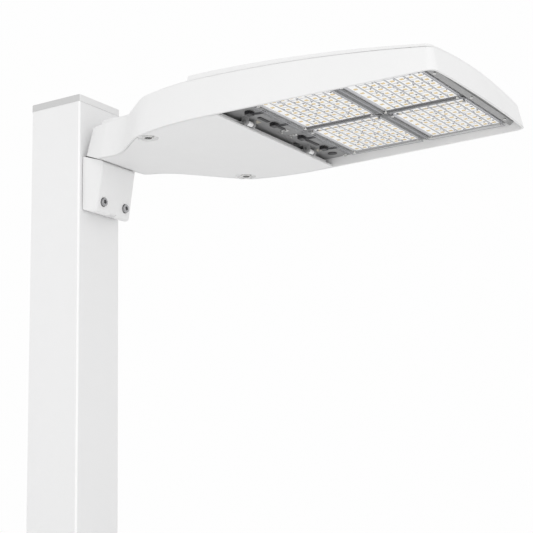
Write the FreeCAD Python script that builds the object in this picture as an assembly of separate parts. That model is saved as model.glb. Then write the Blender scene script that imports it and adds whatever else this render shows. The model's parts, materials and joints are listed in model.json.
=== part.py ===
"""Pole-top area light: a flat die-cast luminaire on the top section of a square steel pole.

Frame: +Z is up, the origin is on the pole's axis at the pole section's lower end.
The luminaire reaches out along +X. Lengths are millimetres.
Places on the luminaire are given as reach (from the pole's face along X) and
height (above the underside of the closed door along Z).
"""
import FreeCAD, Part
import math
import os

V = FreeCAD.Vector
os.makedirs("parts", exist_ok=True)

# ---------------------------------------------------------------- pole
pole_side = 101.6            # 4 inch square tube
pole_wall = 3.0
pole_corner = 3.6            # outside corner radius
pole_height = 749.0          # tube only, from its cut lower end
cap_height = 11.7            # visible height of the cap
cap_overhang = 0.8           # beyond the tube on each side
cap_skirt_depth = 24.0
cap_skirt_wall = 2.5
cap_skirt_gap = 0.15

# ---------------------------------------------------------------- luminaire levels
door_drop = 130.7            # cap's top down to the underside of the door
draft = 0.19                 # inward lean of the cast walls, per unit of height
wall = 3.2                   # cast side walls
roof = 4.0                   # cast roof

# plan outline of the luminaire at the level of the door, one half (the other is mirrored)
stand_off = 1.5              # neck's rear edge to the pole's face
neck_seam_angle = 22.0       # degrees, rear part of the neck widens at this angle
neck_half = 65.0
seam_radius = 35.0
seam_end = 60.0              # reach where the neck runs straight
shoulder_in_radius = 80.0
shoulder_angle = 40.0        # degrees
shoulder_out_reach = 170.0   # reach where the shoulder starts to round off
shoulder_out_radius = 110.0
flank_angle = 17.0
flank_radius = 330.0
taper_angle = 2.0            # the long sides close in towards the nose
nose_reach = 673.5
nose_radius = 2300.0
corner_radius = 14.0
sharp_corner = 1.0           # smallest corner radius of the inner outlines

# side profile
deck_height = 61.5           # upper edge of the side wall, over the widest part
deck_crest = 300.0           # reach of that highest straight stretch
deck_fall = 2.23e-4          # the edge falls with the square of the reach beyond the crest
deck_rise = 1.7e-4           # and rises towards the neck in the same way
crown = 9.0                  # the roof arches this much over the half-width crown_half
crown_half = 150.0
bend_reach = 200.0           # the underside is level beyond this reach
neck_underside = 13.2        # underside's height where the door ends at the neck
seat_rise = 30.5             # underside's height at the pole, above the bracket

# raised roof panels
panel_inset = 8.0
plateau_inset = 4.5
slot_height = 1.6            # shadow slot under the plateau's edge
slot_depth = 3.0
spine_start = 29.0
spine_raise = 9.0
shoulder_raise = 4.0
plateau_start = 284.0
plateau_raise = 10.0
plateau_nose_raise = 5.0
groove_width = 6.0
groove_pitch = 15.0
groove_count = 15
groove_depth = 6.5
groove_start = 318.0
groove_end = 628.0

# ---------------------------------------------------------------- door
door_front = 341.5           # the door's front edge and the start of the light window
door_rear = 46.5
door_thick = 3.0
door_gap = 0.6
front_relief = 1.2           # extra side clearance at the hinge end, for the swing
relief_length = 12.0
door_rib = 7.0               # height of the stiffening ribs inside the door
hinge_behind = 4.0           # hinge line behind the door's front edge
hinge_height = 6.5
hinge_pin_radius = 2.0
hinge_clearance = 0.05
hinge_knuckle_radius = 3.6
hinge_knuckle_length = 14.0
hinge_lug_length = 4.0
hinge_gap = 0.4
hinge_half_span = 86.0

# quarter-turn fasteners of the door
fastener_reach = 199.0
fastener_half_span = 130.5
fastener_head_radius = 9.0
fastener_head_thick = 3.0
fastener_well_radius = 15.0
fastener_well_depth = 3.2
fastener_shank_radius = 3.0
fastener_clearance = 0.08
fastener_bar_length = 20.0
fastener_bar_width = 5.0
fastener_bar_thick = 2.5
fastener_slot_width = 2.0
fastener_slot_depth = 1.4

# ---------------------------------------------------------------- light engine
tray_height = 13.5
tray_thick = 3.0
tray_overlap = 21.5          # tray reaches back over the door
tray_nose_gap = 18.5
tray_side_gap = 0.6
fin_thick = 2.5
fin_height = 9.0
fin_count = 14
fin_pitch = 19.0
fin_rear_margin = 12.0
fin_nose_margin = 55.0
module_nose_gap = 32.0
module_gap = 9.0
module_half_width = 144.5
board_thick = 1.5
board_margin = 3.0
optic_thick = 2.6
optic_lift = 0.9             # emitters stand between board and optic
columns = 8
rows = 7
emitter_edge = 12.5          # outermost emitters' centres to the module's edge
emitter_rear_edge = 14.0     # the same at the edge towards the door
emitter_side = 5.0
emitter_thick = 0.7
dome_radius = 5.2
dome_drop = 1.1
connector_length = 9.0
connector_height = 5.0
connector_width = 12.0
connector_behind = 18.0      # connectors behind the hinge line
lead_span = 20.5
connector_sides = (-112.0, -46.0, 32.0, 98.0)
lead_thick = 1.6
lead_sweep = 3.5             # sideways bow of a lead
lead_end_gap = 0.6
tray_screw_radius = 2.0
tray_screw_head = 3.8
tray_screw_inset = 7.0
tray_screw_rear_gap = 18.0
tray_screw_front_gap = 5.0
optic_screw_radius = 1.25
optic_screw_head = 2.4
optic_screw_head_thick = 1.2

# ---------------------------------------------------------------- gear in the neck end
gear_plate_thick = 1.5
gear_plate_height = 47.0
gear_plate_start = 150.0
gear_plate_gap = 14.0        # to the inner web
gear_plate_half = 98.0
gear_screw_radius = 2.0
driver_length = 132.0
driver_width = 66.0
driver_thick = 30.0
driver_margin = 14.0
driver_side = -84.0
surge_length = 58.0
surge_width = 44.0
surge_thick = 24.0
terminal_length = 22.0
terminal_width = 60.0
terminal_thick = 16.0

# ---------------------------------------------------------------- bracket
bracket_half = 43.0
bracket_top_front = 41.5     # reach of the front face at its top
bracket_bottom_front = 28.5
bracket_bottom = -67.0       # height of the bottom, below the door's underside
bracket_heel = 8.0           # the bottom rises this much towards the pole
bracket_low_reach = 21.0     # where that rise starts
bracket_wall = 4.0
bracket_back = 6.0
bracket_edge = 5.5
seam_rear = 2.4              # seam between bracket and neck, at the pole
seam_front = 0.4             # and at the bracket's front
gasket_inset = 3.0
seam_filler = 0.1            # gasket's play in the seam
pad_thick = 1.5              # rubber pad between pole and bracket
pad_inset = 2.0
lower_bolt_height = -49.0
bolt_half_span = 27.0
lower_bolt_radius = 4.0
lower_head_radius = 6.6
lower_head_thick = 8.0
lower_head_proud = 3.2
lower_boss_radius = 10.0
drain_width = 15.0
drain_depth = 3.4
upper_bolt_height = -8.0
upper_bolt_radius = 4.0
upper_head_across = 13.0
upper_head_thick = 5.3
washer_thick = 1.6
washer_radius = 8.0
bolt_clearance = 0.5
nut_plate_thick = 8.0
nut_plate_half = 40.0
nut_plate_margin = 14.0
wire_hole_radius = 11.0
grommet_wall = 2.0
neck_bolt_radius = 4.0
neck_bolt_head = 6.5
neck_bolt_reach = 24.0
neck_bolt_half_span = 26.0
screw_fit = 0.02             # threads are drawn as plain fits

# ---------------------------------------------------------------- derived levels
across = nose_radius / 10    # half-width of cutting shapes, wider than everything
hinge_reach = door_front + hinge_behind
connector_reach = hinge_reach + connector_behind
module_start = connector_reach + connector_length / 2 + lead_span
module_end = nose_reach - module_nose_gap
tray_start = door_front - tray_overlap
tray_end = nose_reach - tray_nose_gap
fin_start = tray_start + fin_rear_margin
fin_end = tray_end - fin_nose_margin
gear_plate_end = tray_start - gear_plate_gap
pole_face = pole_side / 2
cap_top = pole_height + cap_height
door_level = cap_top - door_drop


def at(reach, y, height):
    """A point from reach and height."""
    return V(pole_face + reach, y, door_level + height)


def half_width(reach, inset=0.0):
    """Half-width of the plan outline at a reach, for placing what sits inside it."""
    edges = outline_points(inset)
    for a, b in zip(edges, edges[1:]):
        if a[0] <= reach <= b[0]:
            return a[1] + (b[1] - a[1]) * (reach - a[0]) / (b[0] - a[0])
    return edges[-1][1]


def outline_arcs(inset):
    """Arcs of one half of the outline, from neck to nose: centre, radius, first and last angle.

    Convex arcs shrink with the inset, the concave shoulder arc grows, so walls keep one thickness.
    """
    turn = math.radians
    seam_c = (seam_end, neck_half - seam_radius)
    inner_c = (seam_end, neck_half + shoulder_in_radius)
    t = turn(shoulder_angle)
    inner_end = (inner_c[0] + shoulder_in_radius * math.sin(t),
                 inner_c[1] - shoulder_in_radius * math.cos(t))
    outer_start = (shoulder_out_reach,
                   inner_end[1] + (shoulder_out_reach - inner_end[0]) * math.tan(t))
    outer_c = (outer_start[0] + shoulder_out_radius * math.sin(t),
               outer_start[1] - shoulder_out_radius * math.cos(t))
    f = turn(flank_angle)
    flank_from = (outer_c[0] - shoulder_out_radius * math.sin(f),
                  outer_c[1] + shoulder_out_radius * math.cos(f))
    flank_c = (flank_from[0] + flank_radius * math.sin(f),
               flank_from[1] - flank_radius * math.cos(f))
    s = turn(taper_angle)
    side_from = (flank_c[0] + flank_radius * math.sin(s),
                 flank_c[1] + flank_radius * math.cos(s))
    nose_c = (nose_reach - nose_radius, 0.0)
    # the corner arc touches the tapering side and the nose arc from inside
    corner = max(corner_radius - inset, sharp_corner)
    in_from_side = inset + corner
    along = (math.cos(s), -math.sin(s))
    base = (side_from[0] - in_from_side * math.sin(s), side_from[1] - in_from_side * math.cos(s))
    dx, dy = base[0] - nose_c[0], base[1] - nose_c[1]
    half_b = dx * along[0] + dy * along[1]
    c = dx * dx + dy * dy - (nose_radius - in_from_side) ** 2
    step = -half_b + math.sqrt(half_b * half_b - c)
    corner_c = (base[0] + step * along[0], base[1] + step * along[1])
    nose_turn = math.atan2(corner_c[1] - nose_c[1], corner_c[0] - nose_c[0])
    up = math.pi / 2
    seam_turn = turn(neck_seam_angle)
    return [
        (seam_c, seam_radius - inset, up + seam_turn, up),
        (inner_c, shoulder_in_radius + inset, -up, -up + t),
        (outer_c, shoulder_out_radius - inset, up + t, up + f),
        (flank_c, flank_radius - inset, up + f, up - s),
        (corner_c, corner, up - s, nose_turn),
        (nose_c, nose_radius - inset, nose_turn, 0.0),
    ]


def on_circle(centre, radius, angle):
    return (centre[0] + radius * math.cos(angle), centre[1] + radius * math.sin(angle))


def rear_corner(inset):
    """Where the straight rear part of the neck meets the face towards the pole."""
    centre, radius, first, last = outline_arcs(inset)[0]
    end = on_circle(centre, radius, first)
    reach = stand_off + inset
    return (reach, end[1] - (end[0] - reach) * math.tan(math.radians(neck_seam_angle)))


def outline_points(inset):
    """Points along one half of the outline, dense enough to read widths from."""
    pts = [rear_corner(inset)]
    for centre, radius, first, last in outline_arcs(inset)[:-1]:
        for k in range(9):
            pts.append(on_circle(centre, radius, first + (last - first) * k / 8))
    return pts


def outline_wire(height, inset):
    """Closed plan outline at a height."""
    def lift(p, side=1):
        return at(p[0], side * p[1], height)

    edges = []

    def half(side):
        made = []
        here = rear_corner(inset)
        for centre, radius, first, last in outline_arcs(inset):
            start = on_circle(centre, radius, first)
            middle = on_circle(centre, radius, (first + last) / 2)
            end = on_circle(centre, radius, last)
            if math.dist(here, start) > 1e-6:
                made.append(Part.makeLine(lift(here, side), lift(start, side)))
            made.append(Part.Arc(lift(start, side), lift(middle, side), lift(end, side)).toShape())
            here = end
        return made

    upper = half(1)
    lower = half(-1)
    edges = upper + lower[::-1]
    r = rear_corner(inset)
    edges.append(Part.makeLine(lift(r, -1), lift(r, 1)))
    return Part.Wire(Part.__sortEdges__(edges))


def body_loft(inset, low=-6.0, high=100.0):
    """The outline drawn up with the walls' draft."""
    return Part.makeLoft([outline_wire(low, inset + draft * low),
                          outline_wire(high, inset + draft * high)], True, True)


def edge_height(reach):
    """Upper edge of the side wall."""
    if reach > deck_crest:
        return deck_height - deck_fall * (reach - deck_crest) ** 2
    return deck_height + deck_rise * (reach - deck_crest) ** 2


def under_roof(lift, start=-30.0, stop=720.0, steps=9):
    """Everything below the arched roof surface, raised by lift(reach)."""
    deep = -60.0
    far = crown_half * 1.4
    sections = []
    for k in range(steps):
        reach = start + (stop - start) * k / (steps - 1)
        spread = min(1.0, (half_width(min(max(reach, 5.0), tray_end)) / crown_half) ** 2)
        top = edge_height(reach) + crown * spread + lift(reach)
        side = top - crown * (far / crown_half) ** 2
        arc = Part.Arc(at(reach, -far, side), at(reach, 0, top), at(reach, far, side)).toShape()
        sections.append(Part.Wire([
            arc,
            Part.makeLine(at(reach, far, side), at(reach, far, deep)),
            Part.makeLine(at(reach, far, deep), at(reach, -far, deep)),
            Part.makeLine(at(reach, -far, deep), at(reach, -far, side)),
        ]))
    return Part.makeLoft(sections, True, False)


def side_prism(profile, half=across):
    """A side-view polygon of (reach, height) drawn across the whole width."""
    pts = [at(r, -half, h) for r, h in profile]
    face = Part.Face(Part.makePolygon(pts + [pts[0]]))
    return face.extrude(V(0, 2 * half, 0))


def underside(lift=0.0, top=150.0):
    """Everything above the luminaire's underside, in side view."""
    return side_prism([
        (0.0, seat_rise + lift),
        (door_rear - 1.5, neck_underside + lift),
        (bend_reach, lift),
        (700.0, lift),
        (700.0, top),
        (0.0, top),
    ])


def block(reach, length, y, width, height, thick):
    return Part.makeBox(length, width, thick, at(reach, y, height))


def rod(radius, length, base, axis):
    return Part.makeCylinder(radius, length, base, axis)


def mirrored(shape):
    """The shape and its mirror image on the other side of the luminaire."""
    return [shape, shape.mirror(V(0, 0, 0), V(0, 1, 0))]


def rounded(shape, radius, pick):
    """Fillets the edges that pick chooses."""
    edges = [e for e in shape.Edges if pick(e)]
    return shape.makeFillet(radius, edges)


def vertical(edge):
    a, b = edge.Vertexes[0].Point, edge.Vertexes[-1].Point
    return abs(a.x - b.x) < 1e-6 and abs(a.y - b.y) < 1e-6


def save(name, shapes):
    """Writes one node, one or more separate solids."""
    solids = []
    for s in shapes if isinstance(shapes, list) else [shapes]:
        solids.extend(s.removeSplitter().Solids if len(s.Solids) == 1 else s.Solids)
    for s in solids:
        if not s.isValid() or s.Volume <= 0:
            print("bad solid in", name)
    shape = solids[0] if len(solids) == 1 else Part.makeCompound(solids)
    shape.exportStep("parts/" + name + ".step")
    box = shape.optimalBoundingBox(False)
    print(f"{name:22s} {len(solids):3d} solids  volume {shape.Volume:12.1f}  "
          f"x {box.XMin:7.1f} {box.XMax:7.1f}  y {box.YMin:7.1f} {box.YMax:7.1f}  "
          f"z {box.ZMin:7.1f} {box.ZMax:7.1f}")


# ---------------------------------------------------------------- pole pieces
def square_bar(side, radius, base_z, height):
    bar = Part.makeBox(side, side, height, V(-side / 2, -side / 2, base_z))
    return rounded(bar, radius, vertical)


def pole_holes(extra=0.0):
    """Bolt holes and wire hole through the pole's +X wall."""
    holes = []
    start = -nut_plate_thick * 4
    length = nut_plate_thick * 4 + 4
    for y in (-bolt_half_span, bolt_half_span):
        holes.append(rod(lower_bolt_radius + extra, length, at(start, y, lower_bolt_height), V(1, 0, 0)))
        holes.append(rod(upper_bolt_radius + extra, length, at(start, y, upper_bolt_height), V(1, 0, 0)))
    holes.append(rod(wire_hole_radius, length, at(start, 0, wire_hole_height()), V(1, 0, 0)))
    return holes


def wire_hole_height():
    """The supply wires pass midway between the bolts."""
    return (lower_bolt_height + upper_bolt_height) / 2


def make_pole_tube():
    outer = square_bar(pole_side, pole_corner, 0, pole_height)
    bore = square_bar(pole_side - 2 * pole_wall, pole_corner - pole_wall, -1, pole_height + 2)
    return outer.cut(bore).cut(Part.makeCompound(pole_holes(bolt_clearance)))


def make_pole_cap():
    slab = square_bar(pole_side + 2 * cap_overhang, pole_corner + cap_overhang, pole_height, cap_height)
    slab = slab.makeFillet(1.2, [e for e in slab.Edges if e.BoundBox.ZMin > cap_top - 0.01])
    inner = pole_side - 2 * pole_wall - 2 * cap_skirt_gap
    corner = pole_corner - pole_wall
    skirt = square_bar(inner, corner, pole_height - cap_skirt_depth, cap_skirt_depth + 1)
    hollow = square_bar(inner - 2 * cap_skirt_wall, corner, pole_height - cap_skirt_depth - 1,
                        cap_skirt_depth + 1 + cap_height / 2)
    return slab.fuse(skirt).cut(hollow).removeSplitter()


def make_nut_plate():
    low = lower_bolt_height - nut_plate_margin
    high = upper_bolt_height + nut_plate_margin
    plate = block(-pole_wall - nut_plate_thick, nut_plate_thick, -nut_plate_half,
                  2 * nut_plate_half, low, high - low)
    return plate.cut(Part.makeCompound(pole_holes(screw_fit)))


# ---------------------------------------------------------------- bracket pieces
def seam_at(reach):
    """Width of the seam between bracket and neck, tapering to the front."""
    return seam_rear + (seam_front - seam_rear) * reach / bracket_top_front


def seat_height(reach):
    """The neck's underside above the bracket."""
    return seat_rise - seat_slope() * reach


def bracket_profile(inset, back):
    """Side view of the bracket's outside, shrunk by inset; back is the reach of its rear face."""
    lean = (bracket_top_front - bracket_bottom_front) / (bracket_front_top() - bracket_bottom)
    heel = bracket_heel * (bracket_low_reach - back) / bracket_low_reach
    return [
        (back, bracket_bottom + heel + inset),
        (bracket_low_reach, bracket_bottom + inset),
        (bracket_bottom_front - inset + lean * inset, bracket_bottom + inset),
        (bracket_top_front - inset, bracket_front_top() - inset),
        (back, seat_height(back) - seam_at(back) - inset),
    ]


def seat_slope():
    """Fall of the neck's underside from the pole to the door."""
    return (seat_rise - neck_underside) / (door_rear - 1.5)


def bracket_front_top():
    return seat_height(bracket_top_front) - seam_front


def side_block(profile, half):
    pts = [at(r, -half, h) for r, h in profile]
    face = Part.Face(Part.makePolygon(pts + [pts[0]]))
    return face.extrude(V(0, 2 * half, 0))


def make_bracket():
    outer = side_block(bracket_profile(0, pad_thick), bracket_half)
    front = [e for e in outer.Edges
             if e.BoundBox.XMin > pole_face + bracket_bottom_front - 1 or
             (e.BoundBox.ZMax < door_level + bracket_bottom + 1 and e.BoundBox.XMin > pole_face + 10)]
    outer = outer.makeFillet(bracket_edge, front)
    inner = side_block(bracket_profile(bracket_wall, pad_thick + bracket_back), bracket_half - bracket_wall)
    body = outer.cut(inner)
    for y in (-bolt_half_span, bolt_half_span):
        boss = rod(lower_boss_radius, bracket_bottom_front - pad_thick - 1,
                   at(pad_thick + 0.5, y, lower_bolt_height), V(1, 0, 0))
        body = body.fuse(boss)
        pillar = rod(neck_bolt_head, 24, at(neck_bolt_reach, y / bolt_half_span * neck_bolt_half_span,
                                            seat_height(neck_bolt_reach) - 24), V(0, 0, 1))
        body = body.fuse(pillar.common(outer))
    for y in (-bolt_half_span, bolt_half_span):
        through = rod(lower_bolt_radius + bolt_clearance, 60, at(0, y, lower_bolt_height), V(1, 0, 0))
        well = rod(lower_head_radius + 0.8, 20, at(lower_seat(), y, lower_bolt_height), V(1, 0, 0))
        upper = rod(upper_bolt_radius + bolt_clearance, pad_thick + bracket_back + 1,
                    at(0, y, upper_bolt_height), V(1, 0, 0))
        side = y / bolt_half_span * neck_bolt_half_span
        down = rod(neck_bolt_radius + screw_fit, 40, at(neck_bolt_reach, side, neck_bolt_tip()), V(0, 0, 1))
        body = body.cut(through).cut(well).cut(upper).cut(down)
    wire = rod(wire_hole_radius, pad_thick + bracket_back + 1, at(0, 0, wire_hole_height()), V(1, 0, 0))
    rise = rod(wire_hole_radius, 60, at(neck_bolt_reach, 0, bracket_front_top() - 12), V(0, 0, 1))
    drain = block(bracket_low_reach - 9, 30, -drain_width / 2, drain_width,
                  bracket_bottom - 1, drain_depth + 1)
    return body.cut(wire).cut(rise).cut(drain).removeSplitter()


def lower_seat():
    """Reach where the lower bolts' heads seat, a little inside the leaning front face."""
    lean = (bracket_top_front - bracket_bottom_front) / (bracket_front_top() - bracket_bottom)
    face = bracket_bottom_front + lean * (lower_bolt_height - bracket_bottom)
    return face - lower_head_thick + lower_head_proud


def neck_bolt_tip():
    return seat_height(neck_bolt_reach) - seam_at(neck_bolt_reach) - 18


def make_pole_pad():
    rear = bracket_profile(pad_inset, 0.0)
    low = rear[0][1]
    high = seat_rise - seam_rear - pad_inset
    pad = block(0, pad_thick, -bracket_half + pad_inset, 2 * (bracket_half - pad_inset), low, high - low)
    return pad.cut(Part.makeCompound(pole_holes(bolt_clearance)))


def make_seat_gasket():
    """Tapered gasket in the seam between bracket and neck, set back from the outside."""
    inset = gasket_inset
    start = pad_thick + inset
    end = bracket_top_front - 2 * inset
    profile = [
        (start, seat_height(start) - seam_at(start) + seam_filler),
        (end, seat_height(end) - seam_at(end) + seam_filler),
        (end, seat_height(end)),
        (start, seat_height(start)),
    ]
    slab = side_block(profile, bracket_half - inset)
    hole = rod(wire_hole_radius, 80, at(neck_bolt_reach, 0, -30), V(0, 0, 1))
    for side in (-neck_bolt_half_span, neck_bolt_half_span):
        start = at(neck_bolt_reach, side, -30)
        slab = slab.cut(rod(neck_bolt_radius + bolt_clearance, 80, start, V(0, 0, 1)))
    return slab.cut(hole)


def socket_bolt(radius, head_radius, head_thick, length, seat, axis, socket_across, socket_depth):
    """Socket head cap screw; seat is the centre of the head's underside, axis points out of the head."""
    back = V(axis.x * -length, axis.y * -length, axis.z * -length)
    shank = rod(radius, length, seat + back, axis)
    head = rod(head_radius, head_thick, seat, axis)
    head = head.makeFillet(0.5, [head.Edges[0] if head.Edges[0].Length > 1 else head.Edges[2]])
    top = V(seat.x + axis.x * head_thick, seat.y + axis.y * head_thick, seat.z + axis.z * head_thick)
    start = V(top.x - axis.x * socket_depth, top.y - axis.y * socket_depth, top.z - axis.z * socket_depth)
    socket = hexagon(socket_across, start, axis, socket_depth + 1)
    return head.fuse(shank).cut(socket).removeSplitter()


def hexagon(across, base, axis, thick):
    """Hexagonal prism along an axis."""
    radius = across / math.sqrt(3)
    pts = [V(radius * math.cos(math.radians(60 * k)), radius * math.sin(math.radians(60 * k)), 0)
           for k in range(7)]
    prism = Part.Face(Part.makePolygon(pts)).extrude(V(0, 0, thick))
    prism.Placement = FreeCAD.Placement(base, FreeCAD.Rotation(V(0, 0, 1), axis))
    return prism


def make_lower_bolts():
    out = []
    for y in (-bolt_half_span, bolt_half_span):
        seat = at(lower_seat(), y, lower_bolt_height)
        length = lower_seat() + pole_wall + nut_plate_thick - 0.5
        out.append(socket_bolt(lower_bolt_radius, lower_head_radius, lower_head_thick, length, seat,
                               V(1, 0, 0), 6.0, 4.0))
    return out


def make_upper_bolts():
    out = []
    for y in (-bolt_half_span, bolt_half_span):
        seat = pad_thick + bracket_back + washer_thick
        length = seat + pole_wall + nut_plate_thick - 0.5
        shank = rod(upper_bolt_radius, length, at(seat - length, y, upper_bolt_height), V(1, 0, 0))
        head = hexagon(upper_head_across, at(seat, y, upper_bolt_height), V(1, 0, 0), upper_head_thick)
        out.append(head.fuse(shank).removeSplitter())
    return out


def make_upper_washers():
    out = []
    for y in (-bolt_half_span, bolt_half_span):
        base = at(pad_thick + bracket_back, y, upper_bolt_height)
        disc = rod(washer_radius, washer_thick, base, V(1, 0, 0))
        out.append(disc.cut(rod(upper_bolt_radius + 0.2, washer_thick * 3, base - V(1, 0, 0), V(1, 0, 0))))
    return out


# ---------------------------------------------------------------- housing
def floor_top(reach):
    """Upper face of the neck's floor."""
    return seat_rise - seat_slope() * reach + 6.0


def raise_rear(reach):
    """Height of the raised roof panel above the roof, neck to shoulder."""
    if reach < 70:
        return spine_raise
    if reach > 170:
        return shoulder_raise
    share = (reach - 70) / 100.0
    return spine_raise + (shoulder_raise - spine_raise) * share * share * (3 - 2 * share)


def raise_plateau(reach):
    share = max(0.0, (reach - deck_crest) / (nose_reach - deck_crest))
    return plateau_raise + (plateau_nose_raise - plateau_raise) * share


def shadow_slot():
    """Slot that undercuts the plateau's edge just above the side walls."""
    ring = body_loft(-2.0).cut(body_loft(plateau_inset + slot_depth))
    ring = ring.common(block(plateau_start - 1, nose_reach, -across, 2 * across, 20, 100))
    return ring.common(under_roof(lambda r: slot_height)).cut(under_roof(lambda r: 0.1))


def screw_columns():
    """Places of the tray screws: reach and half-span, at the window's ends and middle."""
    middle = (module_start + module_end) / 2 - 2
    places = []
    for reach in (module_start - tray_screw_rear_gap, middle, module_end + tray_screw_front_gap):
        inner = half_width(reach) - wall - draft * tray_height
        places.append((reach, inner - tray_screw_inset))
    return places


def gear_columns():
    return [(gear_plate_start + 10, gear_plate_half - 24), (gear_plate_end - 10, gear_plate_half - 8)]


def make_housing():
    slab = body_loft(0.0).common(under_roof(lambda r: 0.0))
    rear_panel = body_loft(panel_inset).common(under_roof(raise_rear))
    rear_panel = rear_panel.common(block(spine_start, plateau_start + 4 - spine_start,
                                         -across, 2 * across, 30, 120))
    plateau = body_loft(plateau_inset).common(under_roof(raise_plateau))
    plateau = plateau.common(side_prism([(plateau_start, 30), (720, 30), (720, 120),
                                         (plateau_start + 9, 120), (plateau_start, 65)]))
    body = slab.fuse(rear_panel).fuse(plateau).cut(shadow_slot())
    body = body.common(underside())
    cavity = body_loft(wall).common(under_roof(lambda r: -roof))
    floor = side_prism([(-20, -40), (door_rear - 1.5, -40), (door_rear - 1.5, neck_underside + 6.0),
                        (-20, seat_rise + 6 + 20 * seat_slope())])
    body = body.cut(cavity.cut(floor))
    body = body.cut(grooves())
    body = body.fuse(inner_web()).fuse(columns_inside())
    for side in (-neck_bolt_half_span, neck_bolt_half_span):
        start = at(neck_bolt_reach, side, -10)
        body = body.cut(rod(neck_bolt_radius + bolt_clearance, 60, start, V(0, 0, 1)))
        seat = rod(neck_bolt_head + 2.2, 30, at(neck_bolt_reach, side, neck_bolt_seat()), V(0, 0, 1))
        body = body.cut(seat.common(cavity.fuse(floor)))
    hole = rod(wire_hole_radius, 34, at(neck_bolt_reach, 0, 5), V(0, 0, 1))
    return body.cut(hole).removeSplitter()


def neck_bolt_seat():
    """Level spot face for the neck bolts' washers."""
    return floor_top(neck_bolt_reach) + 1.0


def grooves():
    """Lengthwise cooling grooves in the plateau."""
    cutters = []
    first = -(groove_count - 1) / 2 * groove_pitch
    for k in range(groove_count):
        y = first + k * groove_pitch
        cutters.append(block(groove_start, groove_end - groove_start, y - groove_width / 2,
                             groove_width, 20, 100))
    lower = under_roof(lambda r: raise_plateau(r) - groove_depth)
    return Part.makeCompound(cutters).cut(lower)


def inner_web():
    """Wall between the gear and the light engine, with two openings for the leads."""
    web = block(tray_start, wall, -across, 2 * across, tray_height + tray_thick, 80)
    web = web.common(body_loft(wall - 0.5)).common(under_roof(lambda r: -roof + 0.5))
    for y in (-60, 60):
        web = web.cut(block(tray_start - 5, 20, y - 8, 16, tray_height + tray_thick + 3, 10))
    return web


def columns_inside():
    """Columns that take the tray screws, the gear plate screws and the door fasteners."""
    keep = body_loft(wall - 0.5).common(under_roof(lambda r: -roof + 0.5))
    made = []
    bottom = tray_height + tray_thick
    for reach, half in screw_columns():
        column = rod(6.0, 90, at(reach, half, bottom), V(0, 0, 1))
        hole = rod(tray_screw_radius + screw_fit, 12, at(reach, half, bottom - 1), V(0, 0, 1))
        made += mirrored(column.cut(hole))
    bottom = gear_plate_height + gear_plate_thick
    for reach, half in gear_columns():
        column = rod(6.0, 60, at(reach, half, bottom), V(0, 0, 1))
        hole = rod(gear_screw_radius + screw_fit, 8, at(reach, half, bottom - 1), V(0, 0, 1))
        made += mirrored(column.cut(hole))
    made += mirrored(catch_column())
    return Part.makeCompound([m.common(keep) for m in made])


def catch_level():
    """Upper face of the catch that the fastener's bar turns over."""
    return door_thick + door_rib + 4.0


def catch_column():
    """Hooked catch on the side wall: the fastener's bar turns in above its lip."""
    reach = fastener_reach
    inner = half_width(reach) - wall + 1.0
    lip_from = fastener_half_span + fastener_bar_width / 2 + 2.0
    return block(reach - 8, 16, lip_from, inner - lip_from, catch_level() - 3.0, 3.0)


# ---------------------------------------------------------------- door
def door_body():
    side = wall + door_gap
    plate = body_loft(side).common(underside()).cut(underside(door_thick))
    plate = plate.common(block(door_rear, door_front - door_rear, -across, 2 * across, -20, 60))
    return plate


def make_door():
    side = wall + door_gap
    relief = body_loft(side - 1.0).cut(body_loft(side + front_relief))
    relief = relief.common(block(door_front - relief_length, 2 * relief_length,
                                 -across, 2 * across, -20, 60))
    plate = door_body().cut(relief)
    inner = body_loft(wall + door_gap + 6.0)
    frame = inner.cut(body_loft(wall + door_gap + 8.5))
    window = block(door_rear + 5, door_front - door_rear - 12, -across, 2 * across, -20, 60)
    shell = underside(door_thick - 0.2).cut(underside(door_thick + door_rib))
    ribs = frame.common(window).common(shell)
    for reach in (door_rear + 5, door_front - 9.5):
        cross = block(reach, 2.5, -across, 2 * across, -20, 60).common(inner).common(shell)
        ribs = ribs.fuse(cross)
    door = plate.fuse(ribs)
    for side in (-1, 1):
        y = side * fastener_half_span
        boss = rod(fastener_well_radius + 2, fastener_well_depth + 4, at(fastener_reach, y, 0.0), V(0, 0, 1))
        door = door.fuse(boss.common(body_loft(wall + door_gap)))
        well = rod(fastener_well_radius, fastener_well_depth + 1, at(fastener_reach, y, -1), V(0, 0, 1))
        shank = rod(fastener_shank_radius + fastener_clearance, 30, at(fastener_reach, y, -1), V(0, 0, 1))
        door = door.cut(well).cut(shank)
        door = door.fuse(knuckle(side * hinge_half_span))
    return door.removeSplitter()


def knuckle(y):
    """Hinge eye with the arm that joins it to the door."""
    start = y - hinge_knuckle_length / 2
    barrel = rod(hinge_knuckle_radius, hinge_knuckle_length, at(hinge_reach, start, hinge_height), V(0, 1, 0))
    arm = block(door_front - 12, hinge_reach - door_front + 12, start, hinge_knuckle_length,
                hinge_height - 0.5, 4.0)
    foot = block(door_front - 12, 6, start, hinge_knuckle_length, door_thick - 0.5,
                 hinge_height + 3.5 - door_thick + 0.5)
    eye = barrel.fuse(arm).fuse(foot)
    bore = rod(hinge_pin_radius + hinge_clearance, hinge_knuckle_length + 2,
               at(hinge_reach, start - 1, hinge_height), V(0, 1, 0))
    return eye.cut(bore)


def make_hinge_pins():
    length = hinge_knuckle_length + 2 * hinge_gap + 2 * hinge_lug_length + 3.0
    return [rod(hinge_pin_radius, length, at(hinge_reach, side * hinge_half_span - length / 2, hinge_height),
                V(0, 1, 0)) for side in (-1, 1)]


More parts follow.
